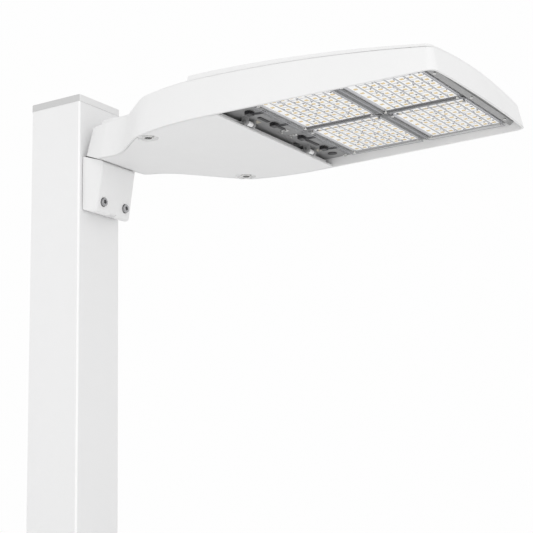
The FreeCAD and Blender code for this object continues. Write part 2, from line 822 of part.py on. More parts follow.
def make_door_gasket():
    """Foam gasket ring bonded inside the door's upstand, up to the housing's ledge."""
    outer = body_loft(wall + door_gap + 8.6)
    ring = outer.cut(body_loft(wall + door_gap + 12.0))
    band = underside(door_thick).cut(underside(door_thick + door_rib - 1.0))
    window = block(door_rear + 8, door_front - door_rear - 40, -across, 2 * across, -20, 60)
    ring = ring.common(band).common(window)
    for side in (-1, 1):
        centre = at(fastener_reach, side * fastener_half_span, -5)
        keep_off = rod(fastener_well_radius + 4, 40, centre, V(0, 0, 1))
        ring = ring.cut(keep_off)
    return ring


def make_fastener(side):
    """Quarter-turn fastener: slotted head, shank and the bar that turns over the catch.

    It is drawn released, with its bar along X; a quarter turn brings the bar over the catch.
    """
    y = side * fastener_half_span
    seat = fastener_well_depth
    head = rod(fastener_head_radius, fastener_head_thick, at(fastener_reach, y, seat - fastener_head_thick),
               V(0, 0, 1))
    head = head.makeFillet(0.8, [e for e in head.Edges
                                 if e.BoundBox.ZMax < door_level + seat - fastener_head_thick + 0.01])
    slot = block(fastener_reach - fastener_head_radius, 2 * fastener_head_radius, y - fastener_slot_width / 2,
                 fastener_slot_width, seat - fastener_head_thick - 1, fastener_slot_depth + 1)
    bar_level = catch_level() + 0.4
    shank = rod(fastener_shank_radius, bar_level + fastener_bar_thick - seat, at(fastener_reach, y, seat),
                V(0, 0, 1))
    bar = block(fastener_reach - fastener_bar_length / 2, fastener_bar_length, y - fastener_bar_width / 2,
                fastener_bar_width, bar_level, fastener_bar_thick)
    return head.cut(slot).fuse(shank).fuse(bar).removeSplitter()


# ---------------------------------------------------------------- light engine
def make_tray():
    inset = wall + tray_side_gap + draft * 0.6
    plate = body_loft(inset).common(block(tray_start, tray_end - tray_start, -across, 2 * across,
                                          tray_height, tray_thick))
    fins = []
    first = -(fin_count - 1) / 2 * fin_pitch
    for k in range(fin_count):
        y = first + k * fin_pitch
        fins.append(block(fin_start, fin_end - fin_start, y - fin_thick / 2, fin_thick,
                          tray_height + tray_thick - 0.1, fin_height + 0.1))
    tray = plate.fuse(fins)
    for side in (-1, 1):
        for end in (-1, 1):
            tray = tray.fuse(hinge_lug(side * hinge_half_span, end))
    holes = []
    for reach, half in screw_columns():
        holes += mirrored(rod(tray_screw_radius + 0.3, 20, at(reach, half, tray_height - 1), V(0, 0, 1)))
    for place in optic_screw_places():
        holes.append(rod(optic_screw_radius + screw_fit, 2.5, at(place[0], place[1], tray_height - 0.5),
                         V(0, 0, 1)))
    for y in (-60, 60):
        holes.append(block(tray_start + 8, 12, y - 8, 16, tray_height - 1, tray_thick + 2))
    return tray.cut(Part.makeCompound(holes)).removeSplitter()


def hinge_lug(y, end):
    """One of the two lugs either side of a knuckle."""
    inner = y + end * (hinge_knuckle_length / 2 + hinge_gap)
    start = inner if end > 0 else inner - hinge_lug_length
    plate = block(hinge_reach - 5, 10, start, hinge_lug_length,
                  hinge_height, tray_height - hinge_height + 0.5)
    plate = plate.fuse(rod(5.0, hinge_lug_length, at(hinge_reach, start, hinge_height), V(0, 1, 0)))
    return plate.cut(rod(hinge_pin_radius + 0.01, hinge_lug_length + 2,
                         at(hinge_reach, start - 1, hinge_height), V(0, 1, 0)))


def make_tray_screws():
    out = []
    for reach, half in screw_columns():
        shank = rod(tray_screw_radius, tray_thick + 10, at(reach, half, tray_height), V(0, 0, 1))
        head = rod(tray_screw_head, 2.6, at(reach, half, tray_height - 2.6), V(0, 0, 1))
        head = head.makeFillet(1.0, [e for e in head.Edges
                                     if e.BoundBox.ZMax < door_level + tray_height - 2.59])
        slot = block(reach - 3, 6, half - 0.6, 1.2, tray_height - 4, 2.6)
        slot = slot.fuse(block(reach - 0.6, 1.2, half - 3, 6, tray_height - 4, 2.6))
        out += mirrored(head.fuse(shank).cut(slot).removeSplitter())
    return out


def module_box(i, j):
    """Reach, length, first y and width of one module; i along X, j across."""
    length = (module_end - module_start - module_gap) / 2
    width = module_half_width - module_gap / 2
    reach = module_start + i * (length + module_gap)
    y = module_gap / 2 if j else -module_half_width
    return reach, length, y, width


def module_copy(shape, i, j):
    """The first module's piece moved to module i, j."""
    first, other = module_box(0, 0), module_box(i, j)
    return shape.translated(V(other[0] - first[0], other[2] - first[2], 0))


def plate_with_corners(box, margin, height, thick, radius):
    reach, length, y, width = box
    plate = block(reach + margin, length - 2 * margin, y + margin, width - 2 * margin, height, thick)
    return rounded(plate, radius, vertical)


def emitter_places(i, j):
    """Centres of the emitters: columns along X, rows across."""
    reach, length, y, width = module_box(i, j)
    step_x = (length - emitter_rear_edge - emitter_edge) / (columns - 1)
    step_y = (width - 2 * emitter_edge) / (rows - 1)
    return [(reach + emitter_rear_edge + step_x * a, y + emitter_edge + step_y * b)
            for a in range(columns) for b in range(rows)]


def make_board(i, j):
    board = plate_with_corners(module_box(i, j), board_margin, tray_height - board_thick, board_thick, 2.0)
    for place in module_screws(i, j):
        start = at(place[0], place[1], tray_height - 5)
        board = board.cut(rod(optic_screw_radius + 0.3, 10, start, V(0, 0, 1)))
    return board


def make_emitters(i, j):
    out = []
    for reach, y in emitter_places(i, j):
        out.append(block(reach - emitter_side / 2, emitter_side, y - emitter_side / 2, emitter_side,
                         tray_height - board_thick - emitter_thick, emitter_thick))
    return out


def module_screws(i, j):
    """Two small screws on the module's middle line hold its optic and board."""
    reach, length, y, width = module_box(i, j)
    inset = board_margin + 3.2
    return [(reach + inset, y + inset), (reach + length - inset, y + width - inset),
            (reach + inset, y + width - inset), (reach + length - inset, y + inset)]


def optic_screw_places():
    return [p for i in (0, 1) for j in (0, 1) for p in module_screws(i, j)]


def optic_levels():
    """Underside and upper face of the optic plate."""
    top = tray_height - board_thick - optic_lift
    return top - optic_thick, top


def make_optic(i, j):
    """Clear moulded plate with a lens over each emitter, standing on a rim around the board."""
    low, top = optic_levels()
    box = module_box(i, j)
    plate = plate_with_corners(box, 0.0, low, optic_thick, 3.0)
    rim = plate_with_corners(box, 0.0, low, tray_height - low, 3.0)
    rim = rim.cut(plate_with_corners(box, board_margin - 0.4, low - 1, tray_height - low + 2, 2.0))
    optic = plate.fuse(rim)
    domes = []
    sphere_radius = (dome_radius ** 2 + dome_drop ** 2) / (2 * dome_drop)
    for reach, y in emitter_places(i, j):
        ball = Part.makeSphere(sphere_radius, at(reach, y, low - dome_drop + sphere_radius))
        disc = rod(dome_radius + 0.5, dome_drop + 0.5, at(reach, y, low - dome_drop - 0.2), V(0, 0, 1))
        domes.append(ball.common(disc))
    optic = optic.fuse(domes)
    posts = []
    for place in module_screws(i, j):
        start = at(place[0], place[1], top - 0.5)
        posts.append(rod(2.6, tray_height - board_thick - top + 0.5, start, V(0, 0, 1)))
    optic = optic.fuse(posts)
    for place in module_screws(i, j):
        start = at(place[0], place[1], tray_height - 15)
        optic = optic.cut(rod(optic_screw_radius + 0.25, 20, start, V(0, 0, 1)))
    return optic.removeSplitter()


def make_optic_screws():
    out = []
    low, top = optic_levels()
    for reach, y in optic_screw_places():
        shank = rod(optic_screw_radius, tray_height - low + 1.6, at(reach, y, low), V(0, 0, 1))
        under = at(reach, y, low - optic_screw_head_thick)
        head = rod(optic_screw_head, optic_screw_head_thick, under, V(0, 0, 1))
        out.append(head.fuse(shank).removeSplitter())
    return out


def connector_places():
    """Plug housings on the bare strip of the tray, two for each row of modules."""
    return [(connector_reach, y) for y in connector_sides]


def make_connectors():
    out = []
    for reach, y in connector_places():
        body = block(reach - connector_length / 2, connector_length, y - connector_width / 2,
                     connector_width, tray_height - connector_height, connector_height)
        latch = block(reach - 2, 4, y - connector_width / 2 - 1.5, connector_width + 3,
                      tray_height - 2.5, 2.5)
        out.append(body.fuse(latch).removeSplitter())
    return out


def lead(start, end, radius, thick):
    """A wire from start to end: down-and-over in a half ring lying flat under the tray."""
    middle = V((start.x + end.x) / 2, (start.y + end.y) / 2 + radius, start.z)
    path = Part.Wire([Part.Arc(start, middle, end).toShape()])
    tangent = path.Edges[0].tangentAt(path.Edges[0].FirstParameter)
    ring = Part.Wire([Part.Circle(start, tangent, thick / 2).toShape()])
    return path.makePipeShell([ring], True, True)


def make_leads():
    out = []
    level = tray_height - connector_height + 1.2
    for reach, y in connector_places():
        for k in (0, 1):
            start = at(reach + connector_length / 2 + lead_end_gap, y - 2.5 + 5 * k, level)
            end = at(module_start - lead_end_gap, y - 2.5 + 5 * k, level)
            out.append(lead(start, end, lead_sweep, lead_thick))
    return out


# ---------------------------------------------------------------- gear
def make_gear_plate():
    plate = block(gear_plate_start, gear_plate_end - gear_plate_start, -gear_plate_half, 2 * gear_plate_half,
                  gear_plate_height, gear_plate_thick)
    keep = body_loft(wall + 1.5)
    plate = plate.common(keep)
    holes = []
    for reach, half in gear_columns():
        start = at(reach, half, gear_plate_height - 5)
        holes += mirrored(rod(gear_screw_radius + 0.3, 20, start, V(0, 0, 1)))
    return plate.cut(Part.makeCompound(holes))


def make_gear_screws():
    out = []
    for reach, half in gear_columns():
        start = at(reach, half, gear_plate_height)
        shank = rod(gear_screw_radius, gear_plate_thick + 6.5, start, V(0, 0, 1))
        head = rod(3.8, 2.4, at(reach, half, gear_plate_height - 2.4), V(0, 0, 1))
        out += mirrored(head.fuse(shank).removeSplitter())
    return out


def make_driver():
    driver_start = gear_plate_start + driver_margin
    box = block(driver_start, driver_length, driver_side, driver_width, gear_plate_height - driver_thick,
                driver_thick)
    box = rounded(box, 3.0, vertical)
    for end in (-1, 1):
        reach = driver_start - 8 if end < 0 else driver_start + driver_length - 2
        length = 10.0
        ear = block(reach, length, driver_side + driver_width / 2 - 9, 18, gear_plate_height - 2.5, 2.5)
        box = box.fuse(ear)
    return box.removeSplitter()


def make_surge_protector():
    box = block(gear_plate_end - surge_length - 8, surge_length, 22, surge_width,
                gear_plate_height - surge_thick, surge_thick)
    return rounded(box, 4.0, vertical)


def make_terminal_block():
    base = block(gear_plate_start + 22, terminal_length, 12, terminal_width,
                 gear_plate_height - terminal_thick, terminal_thick)
    for k in range(5):
        y = 12 + terminal_width * (k + 0.5) / 5
        well = rod(3.2, 6, at(gear_plate_start + 22 + terminal_length / 2, y,
                              gear_plate_height - terminal_thick - 1), V(0, 0, 1))
        base = base.cut(well)
    return base


def make_neck_bolts():
    out = []
    for side in (-1, 1):
        seat = at(neck_bolt_reach, side * neck_bolt_half_span, neck_bolt_seat())
        length = neck_bolt_seat() - neck_bolt_tip() - 1.0
        out.append(socket_bolt(neck_bolt_radius, neck_bolt_head, 8.0, length, seat, V(0, 0, 1), 6.0, 4.0))
    return out


def make_grommet():
    """Rubber bush that guides the supply wires through the neck's floor."""
    base = at(neck_bolt_reach, 0, 8.0)
    tube = rod(wire_hole_radius - 0.2, 28.0, base, V(0, 0, 1))
    return tube.cut(rod(wire_hole_radius - grommet_wall, 40.0, base - V(0, 0, 5), V(0, 0, 1)))


# ---------------------------------------------------------------- write everything
save("pole_tube", make_pole_tube())
save("pole_cap", make_pole_cap())
save("pole_nut_plate", make_nut_plate())
save("pole_pad", make_pole_pad())
save("mounting_bracket", make_bracket())
save("seat_gasket", make_seat_gasket())
save("bracket_lower_bolts", make_lower_bolts())
save("bracket_upper_bolts", make_upper_bolts())
save("bracket_washers", make_upper_washers())
save("neck_bolts", make_neck_bolts())
save("wire_grommet", make_grommet())
save("housing", make_housing())
save("door", make_door())
save("door_gasket", make_door_gasket())
save("hinge_pins", make_hinge_pins())
save("door_fastener_near", make_fastener(-1))
save("door_fastener_far", make_fastener(1))
save("heat_sink_tray", make_tray())
save("tray_screws", make_tray_screws())
numbers = {(0, 0): "1", (1, 0): "2", (0, 1): "3", (1, 1): "4"}
board, emitters, optic = make_board(0, 0), make_emitters(0, 0), make_optic(0, 0)
for (i, j), number in numbers.items():
    save("led_board_" + number, module_copy(board, i, j))
    save("led_emitters_" + number, [module_copy(e, i, j) for e in emitters])
    save("optic_" + number, module_copy(optic, i, j))
save("optic_screws", make_optic_screws())
save("lead_connectors", make_connectors())
save("board_leads", make_leads())
save("gear_plate", make_gear_plate())
save("gear_screws", make_gear_screws())
save("led_driver", make_driver())
save("surge_protector", make_surge_protector())
save("terminal_block", make_terminal_block())
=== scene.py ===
"""Looks of the pole-top area light: finishes, small surface pieces, camera and studio.

Everything is in metres in the model's own frame: +Z up, the pole's axis at X = Y = 0.
"""
import json
import math
import random

import bmesh
import bpy
from mathutils import Euler, Matrix, Vector


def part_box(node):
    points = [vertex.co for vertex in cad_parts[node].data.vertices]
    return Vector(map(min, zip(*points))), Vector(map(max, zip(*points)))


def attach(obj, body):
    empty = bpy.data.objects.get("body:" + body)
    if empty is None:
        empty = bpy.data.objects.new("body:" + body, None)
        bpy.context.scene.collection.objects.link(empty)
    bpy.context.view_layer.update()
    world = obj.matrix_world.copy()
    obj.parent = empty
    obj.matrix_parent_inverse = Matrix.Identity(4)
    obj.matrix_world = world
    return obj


MM = 0.001
WORLD_STRENGTH = 0.82
# Emission strength of the painted glow on the board pads.
PAD_PAINTED_GLOW = 0.15

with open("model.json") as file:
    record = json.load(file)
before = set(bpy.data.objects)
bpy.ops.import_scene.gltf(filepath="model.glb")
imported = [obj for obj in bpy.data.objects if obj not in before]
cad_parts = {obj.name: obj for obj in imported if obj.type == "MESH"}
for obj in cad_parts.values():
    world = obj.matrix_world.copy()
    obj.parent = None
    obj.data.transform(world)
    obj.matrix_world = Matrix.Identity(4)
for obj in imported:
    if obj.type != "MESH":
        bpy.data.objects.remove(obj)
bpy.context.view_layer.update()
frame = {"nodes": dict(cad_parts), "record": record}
nodes = frame["nodes"]
ROOT = "light"


def low(node):
    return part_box(node)[0]


def high(node):
    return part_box(node)[1]


# ---------------------------------------------------------------- places read from the frame
pole_face = high("pole_tube").x
door_level = low("housing").z
tray_face = high("optic_1").z                    # underside of the tray that carries the boards
optic_face = low("optic_1").z


# ---------------------------------------------------------------- camera
def make_camera():
    """The photograph's view: below the light, looking up past the pole."""
    lens_px = 1300.0
    yaw, pitch, roll = 0.5604, 0.1999, -0.0209
    sight = Vector((-math.sin(yaw) * math.cos(pitch), math.cos(yaw) * math.cos(pitch), math.sin(pitch)))
    right = Vector((math.cos(yaw), math.sin(yaw), 0))
    up = right.cross(sight)
    turned_right = right * math.cos(roll) + up * math.sin(roll)
    turned_up = up * math.cos(roll) - right * math.sin(roll)
    data = bpy.data.cameras.new("camera")
    data.sensor_width = 36.0
    data.lens = lens_px / 533.0 * data.sensor_width
    data.clip_end = 50
    camera = bpy.data.objects.new("camera", data)
    turn = Matrix((turned_right, turned_up, -sight)).transposed().to_4x4()
    camera.matrix_world = Matrix.Translation(Vector((1.35994, -1.58253, 0.06691))) @ turn
    bpy.context.scene.collection.objects.link(camera)
    bpy.context.scene.camera = camera
    return camera


# ---------------------------------------------------------------- studio
def make_world():
    """Soft light from all round; the camera and clear or shiny surfaces see a pale backdrop."""
    world = bpy.data.worlds.new("studio")
    bpy.context.scene.world = world
    world.use_nodes = True
    tree = world.node_tree
    tree.nodes.clear()
    out = tree.nodes.new("ShaderNodeOutputWorld")
    seen = tree.nodes.new("ShaderNodeBackground")
    seen.inputs["Color"].default_value = (0.99, 0.99, 0.99, 1)
    lit = tree.nodes.new("ShaderNodeBackground")
    lit.inputs["Color"].default_value = (1, 1, 1, 1)
    lit.inputs["Strength"].default_value = WORLD_STRENGTH
    path = tree.nodes.new("ShaderNodeLightPath")
    showing = path.outputs["Is Camera Ray"]
    for kind in ("Is Transmission Ray", "Is Glossy Ray"):
        either = tree.nodes.new("ShaderNodeMath")
        either.operation = "MAXIMUM"
        tree.links.new(showing, either.inputs[0])
        tree.links.new(path.outputs[kind], either.inputs[1])
        showing = either.outputs[0]
    mix = tree.nodes.new("ShaderNodeMixShader")
    tree.links.new(showing, mix.inputs[0])
    tree.links.new(lit.outputs[0], mix.inputs[1])
    tree.links.new(seen.outputs[0], mix.inputs[2])
    tree.links.new(mix.outputs[0], out.inputs[0])


def area_lamp(name, place, aim, size, power):
    data = bpy.data.lights.new(name, "AREA")
    data.shape = "RECTANGLE"
    data.size, data.size_y = size
    data.energy = power
    lamp = bpy.data.objects.new(name, data)
    lamp.location = place
    lamp.rotation_euler = (Vector(aim) - Vector(place)).to_track_quat("-Z", "Y").to_euler()
    lamp.visible_camera = False
    bpy.context.scene.collection.objects.link(lamp)


def make_studio():
    bpy.context.scene.view_settings.view_transform = "Standard"
    make_world()
    middle = (0.35, 0, 0.65)
    area_lamp("key", (2.6, -2.6, 1.6), middle, (2.2, 2.2), 15)
    area_lamp("left", (-2.6, -2.2, 1.2), middle, (2.0, 2.0), 9)
    area_lamp("below", (1.0, -0.6, 0.02), middle, (1.4, 1.4), 3.1)
    floor = sheet("floor", 14.0, -0.0005)
    floor.data.materials.append(floor_finish())


def sheet(name, side, level):
    """A flat square around the pole."""
    mesh = bpy.data.meshes.new(name)
    half = side / 2
    corners = [(-half, -half, level), (half, -half, level), (half, half, level), (-half, half, level)]
    mesh.from_pydata(corners, [], [(0, 1, 2, 3)])
    made = bpy.data.objects.new(name, mesh)
    bpy.context.scene.collection.objects.link(made)
    return made


# ---------------------------------------------------------------- finishes
class Finish:
    """A node material with one principled shader and helpers for its texture nodes."""

    def __init__(self, name, colour, roughness, metallic=0.0):
        self.material = bpy.data.materials.new(name)
        self.material.use_nodes = True
        self.tree = self.material.node_tree
        self.shader = self.tree.nodes["Principled BSDF"]
        self.shader.inputs["Base Color"].default_value = (*colour, 1)
        self.shader.inputs["Roughness"].default_value = roughness
        self.shader.inputs["Metallic"].default_value = metallic
        self.colour = colour
        self.place = self.tree.nodes.new("ShaderNodeTexCoord").outputs["Object"]

    def set(self, **values):
        for name, value in values.items():
            self.shader.inputs[name.replace("_", " ")].default_value = value
        return self

    def noise(self, scale, detail=2.0, stretch=(1, 1, 1)):
        spread = self.tree.nodes.new("ShaderNodeMapping")
        spread.inputs["Scale"].default_value = stretch
        self.tree.links.new(self.place, spread.inputs["Vector"])
        noise = self.tree.nodes.new("ShaderNodeTexNoise")
        noise.inputs["Scale"].default_value = scale
        noise.inputs["Detail"].default_value = detail
        self.tree.links.new(spread.outputs[0], noise.inputs["Vector"])
        return noise.outputs["Fac"]

    def ramp(self, source, stops):
        """Colour ramp from (position, colour) stops."""
        ramp = self.tree.nodes.new("ShaderNodeValToRGB")
        self.tree.links.new(source, ramp.inputs[0])
        marks = ramp.color_ramp.elements
        for k, (position, colour) in enumerate(stops):
            mark = marks[k] if k < 2 else marks.new(position)
            mark.position = position
            mark.color = (*colour, 1)
        return ramp.outputs[0]

    def mottle(self, scale, amount, detail=3.0, stretch=(1, 1, 1)):
        """Slight variation of the colour."""
        dark = tuple(c * (1 - amount) for c in self.colour)
        pale = tuple(min(1.0, c * (1 + amount * 0.5)) for c in self.colour)
        self.tree.links.new(self.ramp(self.noise(scale, detail, stretch), [(0.3, dark), (0.7, pale)]),
                            self.shader.inputs["Base Color"])
        return self

    def uneven_gloss(self, scale, lowest, highest, stretch=(1, 1, 1)):
        grey = self.ramp(self.noise(scale, 3.0, stretch), [(0.35, (lowest,) * 3), (0.65, (highest,) * 3)])
        self.tree.links.new(grey, self.shader.inputs["Roughness"])
        return self

    def relief(self, source, height, strength=1.0, round_edges=0.0):
        """Bump from a texture on top of softened edges."""
        bump = self.tree.nodes.new("ShaderNodeBump")
        bump.inputs["Strength"].default_value = strength
        bump.inputs["Distance"].default_value = height
        self.tree.links.new(source, bump.inputs["Height"])
        if round_edges:
            bevel = self.tree.nodes.new("ShaderNodeBevel")
            bevel.samples = 6
            bevel.inputs["Radius"].default_value = round_edges
            self.tree.links.new(bevel.outputs[0], bump.inputs["Normal"])
        self.tree.links.new(bump.outputs[0], self.shader.inputs["Normal"])
        return self


def floor_finish():
    """Pale studio floor: shows white to the camera, keeps the object's soft shadow."""
    finish = Finish("studio_floor", (0.93, 0.93, 0.93), 0.9)
    return finish.mottle(3.0, 0.01).material


def powder_coat(name, colour, grain=900.0, edge=1.0 * MM):
    """Satin powder coat: fine orange-peel relief, barely uneven gloss, soft edges."""
    finish = Finish(name, colour, 0.42)
    finish.set(Specular_IOR_Level=0.45)
    finish.mottle(7.0, 0.012)
    finish.uneven_gloss(40.0, 0.38, 0.48)
    return finish.relief(finish.noise(grain, 2.0), 0.05 * MM, 0.35, edge).material


def normal_share(finish, direction):
    """How far the surface faces one way, 0 to 1."""
    place = finish.tree.nodes.new("ShaderNodeTexCoord")
    dot = finish.tree.nodes.new("ShaderNodeVectorMath")
    dot.operation = "DOT_PRODUCT"
    dot.inputs[1].default_value = direction
    finish.tree.links.new(place.outputs["Normal"], dot.inputs[0])
    return dot.outputs["Value"]


def corner_painted_highlight(name, colour):
    """The pole's coat, with a painted highlight along the rounded corner that faces +X and -Y."""
    finish = Finish(name, colour, 0.42)
    finish.set(Specular_IOR_Level=0.45)
    facing = normal_share(finish, (0.7071, -0.7071, 0.0))
    # Painted highlight: the coat turns white where the corner faces +X and -Y.
    painted_highlight = finish.ramp(facing, [(0.80, colour), (0.94, (1.0, 1.0, 1.0))])
    finish.tree.links.new(painted_highlight, finish.shader.inputs["Base Color"])
    finish.uneven_gloss(40.0, 0.38, 0.48)
    return finish.relief(finish.noise(700.0, 2.0), 0.05 * MM, 0.35).material


def cap_painted_shade_coat():
    """The cap's coat, with painted shade on the face toward -Y."""
    finish = Finish("cap_painted_shade_look", (0.82, 0.82, 0.82), 0.42)
    # Painted shade: the face toward -Y is painted a darker grey.
    left = finish.ramp(normal_share(finish, (0.0, -1.0, 0.0)), [(0.5, (0.82,) * 3), (0.8, (0.60,) * 3)])
    finish.tree.links.new(left, finish.shader.inputs["Base Color"])
    return finish.relief(finish.noise(700.0, 2.0), 0.05 * MM, 0.35, 0.5 * MM).material


def seat_rubber():
    """Black gasket, painted white on its front edge."""
    finish = Finish("seat_rubber_look", (0.03, 0.03, 0.032), 0.7)
    front = finish.ramp(normal_share(finish, (1.0, 0.0, 0.0)), [(0.35, (0.03,) * 3), (0.6, (0.80,) * 3)])
    finish.tree.links.new(front, finish.shader.inputs["Base Color"])
    return finish.relief(finish.noise(900.0, 3.0), 0.06 * MM, 0.6).material


def pad_painted_glow():
    """White board coat under the lenses, with a painted glow: it emits a little light though it is no lamp.
    """
    finish = Finish("pad_painted_glow_look", (0.98, 0.98, 0.98), 0.3)
    # Painted light: the pads emit a little light.
    finish.set(Emission_Color=(1, 1, 1, 1), Emission_Strength=PAD_PAINTED_GLOW)
    finish.mottle(180.0, 0.05)
    return finish.relief(finish.noise(700.0, 1.0), 0.02 * MM, 0.4, 0.2 * MM).material


def brushed(name, colour, along, roughness=0.3):
    """Metal with fine lines running along one direction."""
    stretch = tuple(1.0 if a else 40.0 for a in along)
    finish = Finish(name, colour, roughness, 1.0)
    finish.mottle(60.0, 0.12, 4.0, stretch)
    finish.uneven_gloss(80.0, roughness - 0.08, roughness + 0.12, stretch)
    return finish.relief(finish.noise(120.0, 3.0, stretch), 0.03 * MM, 0.4, 0.25 * MM).material


def rubber(name, colour):
    finish = Finish(name, colour, 0.75)
    finish.mottle(150.0, 0.25)
    return finish.relief(finish.noise(900.0, 3.0), 0.06 * MM, 0.6, 0.4 * MM).material


def plastic(name, colour, roughness, grain=0.02):
    """Moulded plastic with a fine mould texture."""
    finish = Finish(name, colour, roughness)
    finish.mottle(25.0, 0.03)
    finish.uneven_gloss(300.0, roughness - 0.06, roughness + 0.08)
    return finish.relief(finish.noise(1600.0, 1.0), grain * MM, 0.5, 0.3 * MM).material


def clear_optic():
    """Clear moulded lens plate: shows the board behind it, brighter where it turns away."""
    finish = Finish("optic_clear_look", (0.96, 0.97, 0.98), 0.08)
    finish.set(Specular_IOR_Level=0.8)
    facing = finish.tree.nodes.new("ShaderNodeLayerWeight")
    facing.inputs["Blend"].default_value = 0.35
    amount = finish.ramp(facing.outputs["Facing"], [(0.0, (0.02,) * 3), (0.9, (0.16,) * 3)])
    finish.tree.links.new(amount, finish.shader.inputs["Alpha"])
    return finish.relief(finish.noise(90.0, 1.0), 0.04 * MM, 0.3).material


def phosphor():
    """Yellow phosphor of the emitters, deeper in the middle of each."""
    finish = Finish("phosphor_look", (0.86, 0.62, 0.20), 0.45)
    finish.mottle(420.0, 0.2)
    finish.set(Specular_IOR_Level=0.6)
    return finish.relief(finish.noise(1200.0, 1.0), 0.02 * MM, 0.3).material


WHITE = (0.868, 0.868, 0.868)
finishes = {
    "cast_white": powder_coat("cast_white_look", WHITE),
    # Pole coat with a painted highlight along its rounded corner.
    "pole_white": corner_painted_highlight("pole_white_painted_highlight_look", (0.866, 0.866, 0.868)),
    "seat_rubber": seat_rubber(),
    "zinc_steel": brushed("zinc_steel_look", (0.60, 0.61, 0.63), (0, 0, 1), 0.38),
    "stainless": brushed("stainless_look", (0.62, 0.62, 0.61), (0, 1, 0), 0.28),
    "bare_aluminium": brushed("bare_aluminium_look", (0.70, 0.71, 0.72), (1, 0, 0), 0.36),
    "tray_grey": powder_coat("tray_look", (0.28, 0.28, 0.282), 900.0, 0.6 * MM),
    # Cap coat with painted shade on its -Y face.
    "cap_grey": cap_painted_shade_coat(),
    "pad_grey": rubber("pad_grey_look", (0.50, 0.50, 0.50)),
    "label_beige": plastic("label_look", (0.50, 0.47, 0.40), 0.4),
    "black_rubber": rubber("black_rubber_look", (0.035, 0.035, 0.037)),
    "grey_foam": rubber("grey_foam_look", (0.12, 0.12, 0.125)),
    "board_white": plastic("board_look", (0.62, 0.62, 0.65), 0.35),
    "emitter_phosphor": phosphor(),
    "optic_clear": clear_optic(),
    "black_plastic": plastic("black_plastic_look", (0.02, 0.02, 0.022), 0.4),
    "lead_insulation": plastic("lead_look", (0.05, 0.05, 0.055), 0.45),
    "driver_case": powder_coat("driver_look", (0.74, 0.74, 0.73)),
    "surge_case": plastic("surge_look", (0.05, 0.05, 0.06), 0.35),
    "terminal_plastic": plastic("terminal_look", (0.74, 0.73, 0.68), 0.4),
    # Board pads with a painted glow.
    "solder_white": pad_painted_glow(),
    "nickel": brushed("nickel_look", (0.78, 0.78, 0.77), (0, 1, 0), 0.18),
    "bolt_steel": brushed("bolt_steel_look", (0.42, 0.42, 0.43), (1, 0, 0), 0.2),
    "dull_metal": brushed("dull_metal_look", (0.46, 0.46, 0.46), (0, 1, 0), 0.3),
    "rib_grey": plastic("rib_look", (0.36, 0.365, 0.37), 0.22),
    "mark_blue": plastic("mark_look", (0.16, 0.18, 0.27), 0.4),
    "groove_grey": plastic("groove_look", (0.34, 0.34, 0.36), 0.4),
}


def dress_nodes():
    """Every node of the model gets the finish of its slot."""
    overrides = {"door_fastener_near": "nickel", "door_fastener_far": "nickel",
                 "pole_cap": "cap_grey", "tray_screws": "nickel", "optic_screws": "nickel",
                 "seat_gasket": "seat_rubber", "bracket_lower_bolts": "bolt_steel",
                 "pole_pad": "pad_grey"}
    for entry in frame["record"]["subparts"]:
        node = nodes[entry["node"]]
        finish = finishes[overrides.get(entry["node"], entry["material_slot"])]
        node.data.materials.clear()
        node.data.materials.append(finish)


# ---------------------------------------------------------------- mesh helpers
def piece(name, mesh_maker, finish, body=ROOT, soften=0.0):
    """One object from a bmesh, riding on a body."""
    bm = bmesh.new()
    mesh_maker(bm)
    bmesh.ops.recalc_face_normals(bm, faces=bm.faces)
    mesh = bpy.data.meshes.new(name)
    bm.to_mesh(mesh)
    bm.free()
    made = bpy.data.objects.new(name, mesh)
    bpy.context.scene.collection.objects.link(made)
    mesh.materials.append(finishes[finish])
    if soften:
        bevel = made.modifiers.new("soften", "BEVEL")
        bevel.width = soften
        bevel.segments = 2
        bevel.limit_method = "ANGLE"
    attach(made, body)
    return made


def add_block(bm, low_corner, high_corner):
    """Axis-aligned block between two corners."""
    centre = (Vector(low_corner) + Vector(high_corner)) / 2
    size = Vector(high_corner) - Vector(low_corner)
    bmesh.ops.create_cube(bm, size=1.0, matrix=Matrix.Translation(centre) @ Matrix.Diagonal((*size, 1)))


def add_disc(bm, centre, radius, thick, sides=16, axis="Z"):
    turn = Matrix.Identity(4) if axis == "Z" else Euler((0, math.pi / 2, 0)).to_matrix().to_4x4()
    bmesh.ops.create_cone(bm, cap_ends=True, segments=sides, radius1=radius, radius2=radius, depth=thick,
                          matrix=Matrix.Translation(Vector(centre)) @ turn)


def at(reach, y, height):
    """A point from reach, side and height in millimetres, as the luminaire is measured."""
    return Vector((pole_face + reach * MM, y * MM, door_level + height * MM))


# ---------------------------------------------------------------- LED modules
COLUMNS, ROWS = 8, 7
EMITTER_EDGE = 12.5 * MM
EMITTER_REAR_EDGE = 14.0 * MM
PAD_DEPTH = 10.4 * MM
BAND_WIDTH = 11.0 * MM
RIB_PITCH = 3.2 * MM
RIBS = 5
SOCKET_HEAD = 6.6 * MM
STRIP_LENGTH = 280 * MM


def module_grid(number):
    """Emitter columns along X and rows across Y of one module."""
    first, last = low("optic_" + number), high("optic_" + number)
    start, end = first.x + EMITTER_REAR_EDGE, last.x - EMITTER_EDGE
    near, far = first.y + EMITTER_EDGE, last.y - EMITTER_EDGE
    xs = [start + (end - start) * k / (COLUMNS - 1) for k in range(COLUMNS)]
    ys = [near + (far - near) * k / (ROWS - 1) for k in range(ROWS)]
    return xs, ys


